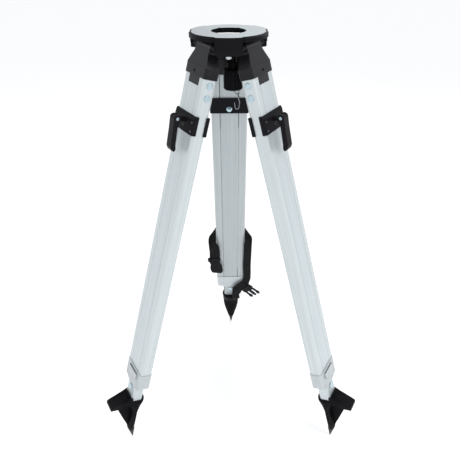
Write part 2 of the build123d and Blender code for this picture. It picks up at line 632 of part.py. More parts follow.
def make_boot():
    """Foot: an oval cup for the leg's neck, a blade down to the spike, and a pedal on a web."""
    lip = boot_section(BOOT_TOP - 3, -1.5, 24.5, 29.2)
    brim = boot_section(BOOT_TOP + 20, -3.0, 24.0, 28.6)
    waist = boot_section(BOOT_TOP + 34, -2.4, 17.5, 27.4)
    shoulder = boot_section(BOOT_TOP + 46, -3.6, 11.0, 26.3)
    cup = loft([lip, brim, waist, shoulder], ruled=True)
    blade = loft([
        shoulder,
        boot_section(BOOT_TOP + 58, -4.3, 8.2, 25.4),
        boot_section(BOOT_TOP + 76, -5.3, 8.0, 24.0),
        boot_section(BOOT_TOP + 92, -6.2, 8.8, 21.4),
        boot_section(BOOT_TOP + 109, -7.1, 9.6, 17.6),
        boot_section(BOOT_TOP + 136, -13.0, 8.9, 9.4),
    ])
    rim_low = -BOOT_TOP - BOOT_RIM_DROP
    above = -BOOT_TOP + 100
    slope = [(-40, rim_low - 5), (-24, rim_low), (22, -BOOT_TOP), (40, -BOOT_TOP)]
    cup -= prism_y([(-40, above)] + slope + [(40, above)], 40)
    crown = mirrored([(40, above), (40, rim_low - 8), (24, rim_low), (14, -BOOT_TOP)])
    cup -= prism_x(crown, -40, 40)
    rib = [(8, -925), (53, -943), (41, -963.5), (20.8, -999), (6, -1023.6), (-5, -1047), (-12, -1047)]
    web = prism_y(rib, BOOT_WEB_HALF)
    step = [(12, -914), (65, -938.5), (68.5, -942), (67.5, -949), (40, -946), (12, -939)]
    sole = prism_z(mirrored_x([(12, PEDAL_ROOT_HALF), (30, PEDAL_ROOT_HALF - 3), (69, PEDAL_HALF)]), -970, -900)
    pedal = prism_y(step, PEDAL_ROOT_HALF) & sole
    boot = cup + blade + web + pedal
    pocket_x = HALF_THICK - PANEL_INSET
    pocket = box_span((-pocket_x, pocket_x), (-PANEL_HALF, PANEL_HALF), (-PANEL_BOTTOM, -BOOT_TOP + 5))
    boot -= fillet(pocket.edges().filter_by(Axis.Z), NECK_ROUND)
    dx, dz = spike_axis()
    tip_x, tip_z = SPIKE_TIP
    start = (tip_x + 29 * dx, 0, tip_z + 29 * dz)
    boot -= rod(start, (tip_x + 60 * dx, 0, tip_z + 60 * dz), SPIKE_RADIUS - 2)
    below = (tip_x + 31 * dx, 0, tip_z + 31 * dz)
    return boot - rod((tip_x, 0, tip_z), below, 40)


def make_spike():
    dx, dz = spike_axis()
    tip_x, tip_z = SPIKE_TIP

    def along(distance):
        return (tip_x + distance * dx, 0, tip_z + distance * dz)

    cone = rod(along(0), along(31), SPIKE_TIP_RADIUS, SPIKE_RADIUS)
    return cone + rod(along(31), along(59.5), SPIKE_RADIUS - 2)


def make_foot_bolt():
    """The bolt through the panel's neck, with a round head on each face."""
    face = HALF_THICK - PANEL_INSET
    bolt = rod((-face, 0, -FOOT_BOLT_DEPTH), (face, 0, -FOOT_BOLT_DEPTH), FOOT_BOLT_RADIUS)
    for side in (-1, 1):
        start = (side * face, 0, -FOOT_BOLT_DEPTH)
        end = (side * (face + FOOT_BOLT_HEAD_HEIGHT), 0, -FOOT_BOLT_DEPTH)
        bolt += rod(start, end, FOOT_BOLT_HEAD)
    return bolt


# ---- strap parts, in the rear leg's frame ----
def ribbon_side(points):
    """The strap seen from the side, as a band of even thickness about a line in X and Z."""
    half = STRAP_THICKNESS / 2
    low = []
    high = []
    for index, (x, z) in enumerate(points):
        before = points[max(index - 1, 0)]
        after = points[min(index + 1, len(points) - 1)]
        run = math.hypot(after[0] - before[0], after[1] - before[1])
        nx = (after[1] - before[1]) / run * half
        nz = -(after[0] - before[0]) / run * half
        low.append((x - nx, z - nz))
        high.append((x + nx, z + nz))
    return low + high[::-1]


def make_webbing_left():
    side = [(0, -STRAP_TOP), (-8, -620), (-19, -638), (STRAP_FRONT, -648), (STRAP_FRONT, -722)]
    front = [(STRAP_CLEAR, -STRAP_TOP), (54, -STRAP_TOP), (64, -618), (70, -650), (71, -690), (68, -722),
             (41, -722), (44, -660), (STRAP_CLEAR, -640)]
    return prism_y(ribbon_side(side), 120) & prism_x(front, -60, 20)


def make_buckle_socket():
    """Socket half of the side-release buckle, hanging at the end of the left webbing."""
    socket = box_span((-SOCKET_FRONT, SOCKET_BACK), (-18, 18), (-74, 0))
    socket = fillet(socket.edges().filter_by(Axis.X), 5.0)
    socket -= box_span((-1.2, 1.2), (-15, 15), (-24, 1))
    return Pos(STRAP_FRONT, SOCKET_MIDDLE, -SOCKET_DEPTH) * (Rot(-8, 0, 0) * socket)


def make_webbing_right():
    """The right strand, its fold across the collar and its loose tail in front of the boot."""
    side = [(0, -STRAP_TOP), (-8, -620), (-19, -638), (STRAP_FRONT, -648), (STRAP_FRONT, -868), (STRAP_TAIL, -892),
            (STRAP_TAIL, -935)]
    front = [(-STRAP_CLEAR, -STRAP_TOP), (-54, -STRAP_TOP), (-61, -618), (-66, -650), (-66, -790), (-67, -850),
             (-58, -870), (-30, -873), (-30, -925), (-20, -932), (-7, -900), (-6, -858), (-30, -838), (-41, -825),
             (-41, -700), (-44, -660), (-STRAP_CLEAR, -640)]
    return prism_y(ribbon_side(side), 120) & prism_x(front, -60, 20)


def make_buckle_plug():
    """Plug half of the side-release buckle: a body and three prongs."""
    body = box_span((-4.3, 4.3), (-15, 15), (-20, 0))
    body = fillet(body.edges().filter_by(Axis.X), 3.0)
    plug = body
    for y, half in ((-12, 2.5), (0, 3.5), (12, 2.5)):
        plug += box_span((-2.5, 2.5), (y - half, y + half), (-PRONG_REACH, -18))
    for y in (-12, 12):
        plug += Pos(0, y, -45) * (Rot(0, 90, 0) * Cylinder(4.6, 5))
    return Pos(STRAP_FRONT - 2, PLUG_MIDDLE, -PLUG_DEPTH) * (Rot(PLUG_TURN, 0, 0) * plug)


def make_strap_anchors():
    """A long footman plate on the side of each rail that holds the strap's upper ends."""
    anchors = []
    for sign in (-1, 1):
        ends = sorted((sign * HALF_WIDTH, sign * (STRAP_CLEAR - 0.1)))
        plate = box_span((-ANCHOR_HALF, ANCHOR_HALF), ends, (-STRAP_TOP - ANCHOR_LENGTH, -STRAP_TOP + 4))
        anchors.append(fillet(plate.edges().filter_by(Axis.Y), ANCHOR_HALF - 1))
    return anchors


def leg_place(azimuth):
    """Moves a leg frame to the hinge at an azimuth, with the leg tilted outward."""
    return Rot(0, 0, azimuth) * Pos(HINGE_RADIUS, 0, -HINGE_DEPTH) * Rot(0, -LEG_TILT, 0)


def head_parts():
    return {
        "head_plate": make_head_plate(),
        "lug_caps": make_lug_caps(),
        "lug_cap_screws": make_lug_screws(),
        "hinge_pins": pin_axes(PIN_RADIUS),
        "swing_arm": make_swing_arm(),
        "screw_bushing": make_screw_bushing(),
        "thrust_washer": make_thrust_washer(),
        "instrument_screw": make_instrument_screw(),
        "screw_knob": make_screw_knob(),
        "knob_bail": make_knob_bail(),
        "plumb_hook": make_plumb_hook(),
    }


def leg_parts():
    return {
        "cap": make_cap(),
        "rail_a": make_rail(1),
        "rail_b": make_rail(-1),
        "cap_bolts": make_cap_bolts(),
        "collar": make_collar(),
        "panel": make_panel(),
        "clamp_front": make_clamp_front(),
        "clamp_back": clamp_plate(CLAMP_BACK_FACE, -1),
        "panel_bolts": make_clamp_bolt() + [make_foot_bolt()],
        "plate_screws": make_plate_screws(),
        "lever_pin": make_lever_pin(),
        "lever": make_lever(),
        "boot": make_boot(),
        "spike": make_spike(),
    }


def strap_parts():
    return {
        "strap_webbing_left": make_webbing_left(),
        "strap_webbing_right": make_webbing_right(),
        "strap_buckle_socket": make_buckle_socket(),
        "strap_buckle_plug": make_buckle_plug(),
        "strap_anchors": make_strap_anchors(),
    }


def placed(piece, place):
    """A piece, or each piece of a list, moved into place."""
    if isinstance(piece, (list, tuple)):
        return Compound(children=[place * one for one in piece])
    return place * piece


def main():
    os.makedirs("parts", exist_ok=True)
    nodes = {name: placed(piece, Location()) for name, piece in head_parts().items()}
    upright = leg_parts()
    for leg, azimuth in LEG_AZIMUTHS.items():
        for name, piece in upright.items():
            nodes[f"{leg}_{name}"] = placed(piece, leg_place(azimuth))
    for name, piece in strap_parts().items():
        nodes[name] = placed(piece, leg_place(LEG_AZIMUTHS["rear"]))
    for name, shape in nodes.items():
        export_step(shape, f"parts/{name}.step")


main()
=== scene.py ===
"""Looks of a surveyor tripod: materials for the CAD parts and the detailed pieces that replace some."""

import json
import math

import bmesh
import bpy
from mathutils import Matrix, Vector


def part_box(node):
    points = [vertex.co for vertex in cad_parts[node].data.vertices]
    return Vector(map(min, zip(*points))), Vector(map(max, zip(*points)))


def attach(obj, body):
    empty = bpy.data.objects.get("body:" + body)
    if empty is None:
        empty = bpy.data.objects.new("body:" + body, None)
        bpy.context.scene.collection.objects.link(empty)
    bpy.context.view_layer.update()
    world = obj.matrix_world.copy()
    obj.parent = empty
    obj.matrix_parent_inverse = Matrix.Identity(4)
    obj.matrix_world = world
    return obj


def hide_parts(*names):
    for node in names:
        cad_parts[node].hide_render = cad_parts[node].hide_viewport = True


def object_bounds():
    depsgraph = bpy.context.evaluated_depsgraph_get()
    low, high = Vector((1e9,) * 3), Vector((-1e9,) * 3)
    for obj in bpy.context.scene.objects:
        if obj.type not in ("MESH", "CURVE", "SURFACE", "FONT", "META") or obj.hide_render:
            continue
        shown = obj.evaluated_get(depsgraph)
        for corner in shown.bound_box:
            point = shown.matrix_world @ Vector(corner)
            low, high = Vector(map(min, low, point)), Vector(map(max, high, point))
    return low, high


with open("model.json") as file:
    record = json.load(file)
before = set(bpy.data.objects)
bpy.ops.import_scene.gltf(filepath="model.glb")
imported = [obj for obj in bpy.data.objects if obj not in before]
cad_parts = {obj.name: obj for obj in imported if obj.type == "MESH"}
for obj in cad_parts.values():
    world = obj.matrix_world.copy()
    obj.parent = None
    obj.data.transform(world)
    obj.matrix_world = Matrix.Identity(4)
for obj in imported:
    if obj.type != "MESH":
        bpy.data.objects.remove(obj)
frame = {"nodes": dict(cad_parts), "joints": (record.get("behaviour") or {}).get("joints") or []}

CAD_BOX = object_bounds()
MM = 0.001
LEGS = ("rear", "left", "right")
NODES = frame["nodes"]
JOINTS = {joint["name"]: joint for joint in frame["joints"]}


# ---- frames of the legs, read from the joints ----
def leg_matrix(leg):
    """Leg frame to row frame: X outward, Y sideways, Z up along the leg, origin on the hinge axis."""
    up = -Vector(JOINTS[f"{leg}_leg_extend"]["axis"]).normalized()
    side = -Vector(JOINTS[f"{leg}_leg_fold"]["axis"]).normalized()
    out = side.cross(up)
    turn = Matrix((out, side, up)).transposed().to_4x4()
    return Matrix.Translation(JOINTS[f"{leg}_leg_fold"]["pos_m"]) @ turn


LEG_FRAMES = {leg: leg_matrix(leg) for leg in LEGS}


# ---- node helpers ----
MIX_COLORS = (6, 7)  # the colour inputs of a mix node, which share their names with its other inputs
MIX_RESULT = 2


class Nodes:
    """A new material with its Principled shader, and short calls for the nodes that feed it."""

    def __init__(self, name, color, roughness, metallic=0.0, specular=0.5):
        self.material = bpy.data.materials.new(name)
        self.material.use_nodes = True
        self.tree = self.material.node_tree
        self.shader = self.tree.nodes["Principled BSDF"]
        self.set(self.shader, "Base Color", (*color, 1.0))
        self.set(self.shader, "Roughness", roughness)
        self.set(self.shader, "Metallic", metallic)
        self.set(self.shader, "Specular IOR Level", specular)
        source = self.add("ShaderNodeTexCoord")
        self.coordinates = source.outputs["Object"]
        self.along = source.outputs["UV"]

    def add(self, kind, **values):
        node = self.tree.nodes.new(kind)
        for name, value in values.items():
            setattr(node, name, value)
        return node

    def set(self, node, socket, value):
        if isinstance(value, bpy.types.NodeSocket):
            self.tree.links.new(value, node.inputs[socket])
        else:
            node.inputs[socket].default_value = value

    def place(self, matrix=None, stretch=(1.0, 1.0, 1.0)):
        """Object coordinates, in a leg's frame if a matrix is given, stretched along each axis."""
        out = self.coordinates
        if matrix is not None:
            back = matrix.inverted()
            turn = self.add("ShaderNodeMapping", vector_type="POINT")
            self.set(turn, "Vector", out)
            self.set(turn, "Location", back.to_translation())
            self.set(turn, "Rotation", back.to_euler())
            out = turn.outputs[0]
        scale = self.add("ShaderNodeMapping", vector_type="POINT")
        self.set(scale, "Vector", out)
        self.set(scale, "Scale", stretch)
        return scale.outputs[0]

    def noise(self, vector, scale, detail=3.0, roughness=0.5):
        node = self.add("ShaderNodeTexNoise")
        self.set(node, "Vector", vector)
        self.set(node, "Scale", scale)
        self.set(node, "Detail", detail)
        self.set(node, "Roughness", roughness)
        return node.outputs["Fac"]

    def ramp(self, value, low, high, start=0.0, end=1.0):
        """Maps a value from the range low to high onto start to end."""
        node = self.add("ShaderNodeMapRange")
        self.set(node, "Value", value)
        self.set(node, "From Min", low)
        self.set(node, "From Max", high)
        self.set(node, "To Min", start)
        self.set(node, "To Max", end)
        return node.outputs["Result"]

    def math(self, operation, first, second=0.0):
        node = self.add("ShaderNodeMath", operation=operation)
        self.set(node, 0, first)
        self.set(node, 1, second)
        return node.outputs[0]

    def mix(self, factor, first, second):
        """Mixes two colours, each a triple or a socket."""
        node = self.add("ShaderNodeMix", data_type="RGBA")
        self.set(node, "Factor", factor)
        for socket, value in zip(MIX_COLORS, (first, second)):
            self.set(node, socket, value if isinstance(value, bpy.types.NodeSocket) else (*value, 1.0))
        return node.outputs[MIX_RESULT]

    def edge(self, low=0.52, high=0.6):
        """1 on sharp outer edges, 0 elsewhere."""
        point = self.add("ShaderNodeNewGeometry").outputs["Pointiness"]
        return self.ramp(point, low, high)

    def bump(self, height, strength, distance):
        node = self.add("ShaderNodeBump")
        self.set(node, "Strength", strength)
        self.set(node, "Distance", distance)
        self.set(node, "Height", height)
        self.set(self.shader, "Normal", node.outputs["Normal"])


def finish_color(nodes, color):
    nodes.set(nodes.shader, "Base Color", color)


def shaded(color, factor):
    return [c * factor for c in color]


# ---- materials ----
BLACK_SPECULAR = 0.05
CAP_SPECULAR = 0.22
WEB_SPECULAR = 0.08
# painted shade: the rear leg's rail and panel colours are darkened by this factor
REAR_PAINTED_SHADE = 0.77
RAIL_COLOR = (0.65, 0.70, 0.72)
PANEL_COLOR = (0.63, 0.685, 0.71)
EXTRUSION_ROUGHNESS = 0.42
ZINC_BLUE = (0.56, 0.70, 0.76)
# painted shadow: the colour of the clamp bolt's head, which lies under the lever
LEVER_SHADOW_BLACK = (0.01, 0.01, 0.011)
BOLT_HEAD_OUT = (4 * MM, 6 * MM)  # past this distance outward a bolt's head lies in the outer plate
CLAMP_BOLT_UP = (-300 * MM, -290 * MM)  # the clamp bolt is above this height, the foot bolt below it
HEAD_PAINT = (0.004, 0.004, 0.005)
WORN_PAINT = (0.015, 0.015, 0.017)
MACHINED = (0.42, 0.455, 0.475)
PAINT_ROUGHNESS = 0.42
MACHINED_ROUGHNESS = 0.5
MACHINED_METAL = 0.75
FACING_UP = (0.96, 0.985)  # upward part of the normal: paint below the first, machined above the second
TOP_LAYER = (-2 * MM, -0.8 * MM)  # the same for the height, which is 0 at the head's top


def anodised(name, matrix, color, roughness):
    """Clear anodised extrusion: faint die lines along the leg, slight mottling and handling marks."""
    nodes = Nodes(name, color, roughness, metallic=0.5, specular=0.4)
    lines = nodes.noise(nodes.place(matrix, (1.0, 1.0, 0.004)), scale=900.0, detail=2.0)
    cloud = nodes.noise(nodes.place(matrix), scale=18.0, detail=4.0)
    marks = nodes.noise(nodes.place(matrix, (1.0, 1.0, 0.12)), scale=160.0, detail=5.0, roughness=0.65)
    lighter = [min(c, 1.0) for c in shaded(color, 1.05)]
    shade = nodes.mix(nodes.ramp(lines, 0.35, 0.65), shaded(color, 0.9), lighter)
    shade = nodes.mix(nodes.ramp(cloud, 0.35, 0.7, 0.0, 0.35), shade, color)
    shade = nodes.mix(nodes.ramp(marks, 0.66, 0.74, 0.0, 0.25), shade, shaded(color, 0.7))
    finish_color(nodes, shade)
    rough = nodes.ramp(marks, 0.3, 0.75, roughness - 0.06, roughness + 0.1)
    nodes.set(nodes.shader, "Roughness", rough)
    nodes.bump(lines, strength=0.12, distance=0.2 * MM)
    return nodes.material


def cast_aluminium(name, color, roughness=0.48):
    """Bead-blasted casting: fine grain and slightly brighter edges."""
    nodes = Nodes(name, color, roughness, metallic=0.45, specular=0.4)
    grain = nodes.noise(nodes.place(), scale=1400.0)
    cloud = nodes.noise(nodes.place(), scale=60.0, detail=4.0)
    lighter = [min(c, 1.0) for c in shaded(color, 1.15)]
    shade = nodes.mix(nodes.ramp(cloud, 0.3, 0.7), shaded(color, 0.9), color)
    shade = nodes.mix(nodes.math("MULTIPLY", nodes.edge(), 0.5), shade, lighter)
    finish_color(nodes, shade)
    nodes.bump(grain, strength=0.35, distance=0.3 * MM)
    return nodes.material


def moulded(name, color, roughness, grain_scale=1600.0, wear=0.5, specular=BLACK_SPECULAR):
    """Moulded black plastic: fine grain, soft sheen, edges worn a little lighter."""
    nodes = Nodes(name, color, roughness, specular=specular)
    grain = nodes.noise(nodes.place(), grain_scale)
    cloud = nodes.noise(nodes.place(), scale=35.0, detail=4.0)
    shade = nodes.mix(nodes.ramp(cloud, 0.35, 0.7), shaded(color, 0.8), shaded(color, 1.25))
    worn = nodes.math("MULTIPLY", nodes.edge(), wear)
    shade = nodes.mix(worn, shade, [c * 2.2 + 0.008 for c in color])
    finish_color(nodes, shade)
    nodes.set(nodes.shader, "Roughness", nodes.ramp(cloud, 0.3, 0.7, roughness - 0.05, roughness + 0.08))
    nodes.bump(grain, strength=0.3, distance=0.2 * MM)
    return nodes.material


def plated_nodes(name, color, roughness=0.3):
    """Plated or turned metal with fine scratches: its nodes and the shade that colours it."""
    nodes = Nodes(name, color, roughness, metallic=1.0)
    scratch = nodes.noise(nodes.place(stretch=(1.0, 1.0, 0.2)), scale=1800.0, detail=4.0)
    cloud = nodes.noise(nodes.place(), scale=250.0)
    shade = nodes.mix(nodes.ramp(cloud, 0.3, 0.7), shaded(color, 0.82), color)
    finish_color(nodes, shade)
    nodes.set(nodes.shader, "Roughness", nodes.ramp(scratch, 0.3, 0.7, roughness - 0.08, roughness + 0.12))
    nodes.bump(scratch, strength=0.15, distance=0.1 * MM)
    return nodes, shade


def plated(name, color, roughness=0.3):
    nodes, shade = plated_nodes(name, color, roughness)
    return nodes.material


def bolt_finish(name, matrix, color):
    """Zinc plated bolts; the clamp bolt's head, sunk in the outer plate, is coloured near black, a painted
    shadow of the lever.
    """
    nodes, shade = plated_nodes(name, color)
    split = nodes.add("ShaderNodeSeparateXYZ")
    nodes.set(split, "Vector", nodes.place(matrix))
    outside = nodes.ramp(split.outputs["X"], *BOLT_HEAD_OUT)
    upper = nodes.ramp(split.outputs["Z"], *CLAMP_BOLT_UP)
    # painted shadow: outward and above the foot bolt, the bolt head turns near black
    finish_color(nodes, nodes.mix(nodes.math("MULTIPLY", outside, upper), shade, LEVER_SHADOW_BLACK))
    return nodes.material


def head_finish():
    """Black painted casting whose flat top is machined bright, with fine turning marks."""
    nodes = Nodes("head_paint_and_machined_top", HEAD_PAINT, PAINT_ROUGHNESS, specular=BLACK_SPECULAR)
    geometry = nodes.add("ShaderNodeNewGeometry")
    split = nodes.add("ShaderNodeSeparateXYZ")
    nodes.set(split, "Vector", geometry.outputs["Normal"])
    place = nodes.add("ShaderNodeSeparateXYZ")
    nodes.set(place, "Vector", nodes.coordinates)
    up = nodes.ramp(split.outputs["Z"], *FACING_UP)
    high = nodes.ramp(place.outputs["Z"], *TOP_LAYER)
    top = nodes.math("MULTIPLY", up, high)
    rings = nodes.add("ShaderNodeTexWave", wave_type="RINGS", rings_direction="Z")
    nodes.set(rings, "Vector", nodes.place())
    nodes.set(rings, "Scale", 420.0)
    nodes.set(rings, "Distortion", 1.5)
    nodes.set(rings, "Detail", 2.0)
    cloud = nodes.noise(nodes.place(), scale=40.0, detail=4.0)
    machined = nodes.mix(nodes.ramp(cloud, 0.3, 0.7), shaded(MACHINED, 0.93), MACHINED)
    grain = nodes.noise(nodes.place(), scale=1300.0)
    painted = nodes.mix(nodes.math("MULTIPLY", nodes.edge(), 0.4), HEAD_PAINT, WORN_PAINT)
    finish_color(nodes, nodes.mix(top, painted, machined))
    nodes.set(nodes.shader, "Metallic", nodes.math("MULTIPLY", top, MACHINED_METAL))
    nodes.set(nodes.shader, "Roughness", nodes.ramp(top, 0.0, 1.0, PAINT_ROUGHNESS, MACHINED_ROUGHNESS))
    marks = nodes.mix(top, grain, rings.outputs["Fac"])
    nodes.bump(marks, strength=0.12, distance=0.2 * MM)
    return nodes.material


# ---- carried-over CAD nodes ----
def soften(item, width, segments=2, angle=40):
    """Rounds an object's sharp edges and keeps its flat faces flat."""
    rounded = item.modifiers.new("rounded_edges", "BEVEL")
    rounded.width = width
    rounded.segments = segments
    rounded.limit_method = "ANGLE"
    rounded.angle_limit = math.radians(angle)
    rounded.harden_normals = True


def dress(node, material, bevel=0.0):
    """Gives a CAD node its material and, if asked, slightly rounded edges."""
    item = NODES[node]
    item.data.materials.clear()
    item.data.materials.append(material)
    if bevel:
        soften(item, bevel, angle=35)


def dress_head():
    """Materials of the head, its hinge lugs, the swing arm, the screw's own CAD parts and the hook."""
    paint = moulded("lug_paint", (0.0045, 0.0045, 0.0055), PAINT_ROUGHNESS, grain_scale=1300.0, wear=0.35)
    zinc = plated("zinc_screws", (0.68, 0.71, 0.73))
    dress("head_plate", head_finish(), 0.4 * MM)
    dress("lug_caps", paint, 0.5 * MM)
    dress("lug_cap_screws", zinc, 0.2 * MM)
    dress("hinge_pins", plated("pin_black_oxide", (0.03, 0.03, 0.033), 0.4))
    dress("swing_arm", moulded("arm_black_zinc", (0.008, 0.008, 0.009), 0.4), 0.3 * MM)
    dress("screw_bushing", plated("bushing_steel", (0.03, 0.03, 0.033), 0.4))
    dress("thrust_washer", plated("washer_steel", (0.08, 0.08, 0.085), 0.4))
    dress("screw_knob", moulded("knob_plastic", (0.005, 0.005, 0.006), 0.5), 0.5 * MM)
    dress("knob_bail", plated("bail_wire", (0.12, 0.12, 0.13)))
    dress("plumb_hook", plated("hook_wire", (0.42, 0.43, 0.45)))


def dress_legs():
    """Materials of the three legs; the rear leg's extrusions are coloured darker, a painted shade."""
    zinc = plated("zinc_bolts", ZINC_BLUE)
    small_screw = plated("plate_screw_steel", (0.16, 0.165, 0.175), 0.4)
    cap = moulded("cap_plastic", (0.005, 0.005, 0.0065), 0.3, specular=CAP_SPECULAR)
    clamp = moulded("clamp_plastic", (0.0045, 0.0045, 0.006), 0.42)
    lever = moulded("lever_plastic", (0.0055, 0.0055, 0.007), 0.36)
    boot = moulded("boot_powder_coat", (0.004, 0.004, 0.005), 0.45, grain_scale=1200.0)
    collar = cast_aluminium("collar_casting", (0.56, 0.595, 0.615))
    spike = plated("spike_steel", (0.05, 0.05, 0.055), 0.4)
    for leg in LEGS:
        matrix = LEG_FRAMES[leg]
        # painted shade: darker colours for the rear leg only
        painted_shade_factor = REAR_PAINTED_SHADE if leg == "rear" else 1.0
        rail = anodised(f"{leg}_rail_anodised", matrix, shaded(RAIL_COLOR, painted_shade_factor), EXTRUSION_ROUGHNESS)
        panel = anodised(f"{leg}_panel_anodised", matrix, shaded(PANEL_COLOR, painted_shade_factor), EXTRUSION_ROUGHNESS)
        dress(f"{leg}_cap", cap, 0.6 * MM)
        dress(f"{leg}_rail_a", rail)
        dress(f"{leg}_rail_b", rail)
        dress(f"{leg}_cap_bolts", zinc, 0.5 * MM)
        dress(f"{leg}_collar", collar, 0.6 * MM)
        dress(f"{leg}_panel", panel)
        dress(f"{leg}_clamp_front", clamp, 0.6 * MM)
        dress(f"{leg}_clamp_back", clamp, 0.6 * MM)
        dress(f"{leg}_panel_bolts", bolt_finish(f"{leg}_bolt_zinc", matrix, ZINC_BLUE), 0.3 * MM)
        dress(f"{leg}_plate_screws", small_screw, 0.2 * MM)
        dress(f"{leg}_lever_pin", zinc, 0.3 * MM)
        dress(f"{leg}_lever", lever, 0.8 * MM)
        dress(f"{leg}_boot", boot, 0.8 * MM)
        dress(f"{leg}_spike", spike)


# ---- new pieces ----
def finished_object(name, shape, material, body, smooth=True):
    """Turns a bmesh into an object with a material that rides on a body."""
    mesh = bpy.data.meshes.new(name)
    bmesh.ops.recalc_face_normals(shape, faces=shape.faces)
    for face in shape.faces:
        face.smooth = smooth
    shape.to_mesh(mesh)
    shape.free()
    mesh.materials.append(material)
    item = bpy.data.objects.new(name, mesh)
    bpy.context.scene.collection.objects.link(item)
    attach(item, body)
    return item


def smooth_line(points, steps):
    """A Catmull-Rom line through points, with the same number of steps between each two."""
    ends = [points[0] * 2 - points[1]] + points + [points[-1] * 2 - points[-2]]
    line = []
    for a, b, c, d in zip(ends, ends[1:], ends[2:], ends[3:]):
        for step in range(steps):
            t = step / steps
            bend = 2 * b + (c - a) * t + (2 * a - 5 * b + 4 * c - d) * t ** 2
            line.append(0.5 * (bend + (3 * b - a - 3 * c + d) * t ** 3))
    return line + [points[-1]]


def join_rings(shape, ring, beyond):
    """Adds the faces between two rings of vertices, and lists them as (place, following place, face)."""
    faces = []
    for place in range(len(ring)):
        following = (place + 1) % len(ring)
        face = shape.faces.new((ring[place], ring[following], beyond[following], beyond[place]))
        faces.append((place, following, face))
    return faces


# ---- strap and buckle on the rear leg ----
WEB_WIDTH = 25 * MM
WEB_THICK = 1.7 * MM
WEB_STEPS = 8
WEB_SHOULDER = 0.97  # where the rounding at each edge of the webbing starts, as a part of half its width
START_WIDTH = 0.35  # the webbing leaves the rail gathered to this part of its width
SPREAD_RUN = 40 * MM  # and gains a full width over this length
UV_PER_METRE = 100  # so that the weave's texture unit is 10 mm
SELVEDGE = (1.05, 1.12)  # distance from the strap's middle in texture units

SOCKET_PLACE = (-23, 53, -714)
SOCKET_TURN = -8
SOCKET_DEPTH = (-5, 4)
SLIDER_DEPTH = (-4.6, 2.8)
PLUG_PLACE = (-24.4, -48, -866)
PLUG_TURN = -40
PLUG_SCALE = (0.95, 1.2, 1.2, 1.0)
PLUG_DEPTH = (-4.2, 4.2)
TONGUE_DEPTH = (-2.2, 2.2)
PRONG_DEPTH = (-2.4, 2.4)


def webbing(name, matrix, stations, material, body, node):
    """Flat strap along stations of (middle, width direction) in a leg frame, in millimetres.

    It starts gathered and spreads to its full width. Its texture runs along it and across it.
    """
    middles = smooth_line([Vector(middle) * MM for middle, side in stations], WEB_STEPS)
    sides = smooth_line([Vector(side).normalized() for middle, side in stations], WEB_STEPS)
    half = WEB_WIDTH / 2
    thick = WEB_THICK / 2
    upper = [(half * part, thick) for part in (-WEB_SHOULDER, -0.5, 0, 0.5, WEB_SHOULDER)]
    section = [(-half, 0)] + upper + [(half, 0)] + [(a, -b) for a, b in reversed(upper)]
    shape = bmesh.new()
    layer = shape.loops.layers.uv.new("along")
    rings = []
    runs = []
    run = 0.0
    for index, middle in enumerate(middles):
        before = middles[max(index - 1, 0)]
        after = middles[min(index + 1, len(middles) - 1)]
        along = (after - before).normalized()
        side = (sides[index] - along * sides[index].dot(along)).normalized()
        outward = along.cross(side)
        if index:
            run += (middle - middles[index - 1]).length
        runs.append(run)
        spread = min(START_WIDTH + run / SPREAD_RUN, 1.0)
        points = [middle + side * a * spread + outward * b for a, b in section]
        rings.append([shape.verts.new(matrix @ point) for point in points])
    across = [a for a, b in section]
    for index, (ring, beyond) in enumerate(zip(rings, rings[1:])):
        for place, following, face in join_rings(shape, ring, beyond):
            corners = ((index, place), (index, following), (index + 1, following), (index + 1, place))
            for loop, (row, corner) in zip(face.loops, corners):
                loop[layer].uv = (runs[row] * UV_PER_METRE, across[corner] * UV_PER_METRE)
    for ring in (rings[0], rings[-1]):
        shape.faces.new(ring)
    item = finished_object(name, shape, material, body)
    if node:
        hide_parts(node)


def webbing_material():
    """Woven nylon: ribs across the strap, a slight twill, and a tighter edge on each side."""
    nodes = Nodes("webbing_weave", (0.006, 0.006, 0.007), 0.75, specular=WEB_SPECULAR)
    nodes.set(nodes.shader, "Sheen Weight", 0.04)
    ribs = nodes.add("ShaderNodeTexWave", wave_type="BANDS", bands_direction="X", wave_profile="SIN")
    nodes.set(ribs, "Vector", nodes.along)
    nodes.set(ribs, "Scale", 2.0)
    nodes.set(ribs, "Distortion", 0.4)
    yarns = nodes.add("ShaderNodeTexWave", wave_type="BANDS", bands_direction="Y", wave_profile="SIN")
    nodes.set(yarns, "Vector", nodes.along)
    nodes.set(yarns, "Scale", 3.2)
    nodes.set(yarns, "Distortion", 0.3)
    weave = nodes.math("MULTIPLY", ribs.outputs["Fac"], yarns.outputs["Fac"])
    split = nodes.add("ShaderNodeSeparateXYZ")
    nodes.set(split, "Vector", nodes.along)
    edge = nodes.ramp(nodes.math("ABSOLUTE", split.outputs["Y"]), *SELVEDGE)
    cloud = nodes.noise(nodes.place(), scale=90.0, detail=4.0)
    shade = nodes.mix(weave, (0.003, 0.003, 0.0035), (0.013, 0.013, 0.015))
    shade = nodes.mix(nodes.math("MULTIPLY", edge, 0.5), shade, (0.018, 0.018, 0.02))
    shade = nodes.mix(nodes.ramp(cloud, 0.5, 0.75, 0.0, 0.35), shade, (0.03, 0.03, 0.033))
    finish_color(nodes, shade)
    nodes.bump(weave, strength=0.7, distance=0.5 * MM)
    return nodes.material


def outline_block(shape, points, low, high):
    """Adds a prism to a bmesh: an outline in Y and Z, between two values of X, in millimetres."""
    near = [shape.verts.new(Vector((low, a, b)) * MM) for a, b in points]
    far = [shape.verts.new(Vector((high, a, b)) * MM) for a, b in points]
    shape.faces.new(near)
    shape.faces.new(list(reversed(far)))
    join_rings(shape, near, far)


def mirror_outline(points):
    """A right-hand outline from top to bottom, closed by its mirror image."""
    return points + [(-a, b) for a, b in reversed(points)]


def leg_place(matrix, place, turn):
    """A place in a leg frame in millimetres, turned about the outward axis in degrees."""
    return matrix @ Matrix.Translation(Vector(place) * MM) @ Matrix.Rotation(math.radians(turn), 4, "X")


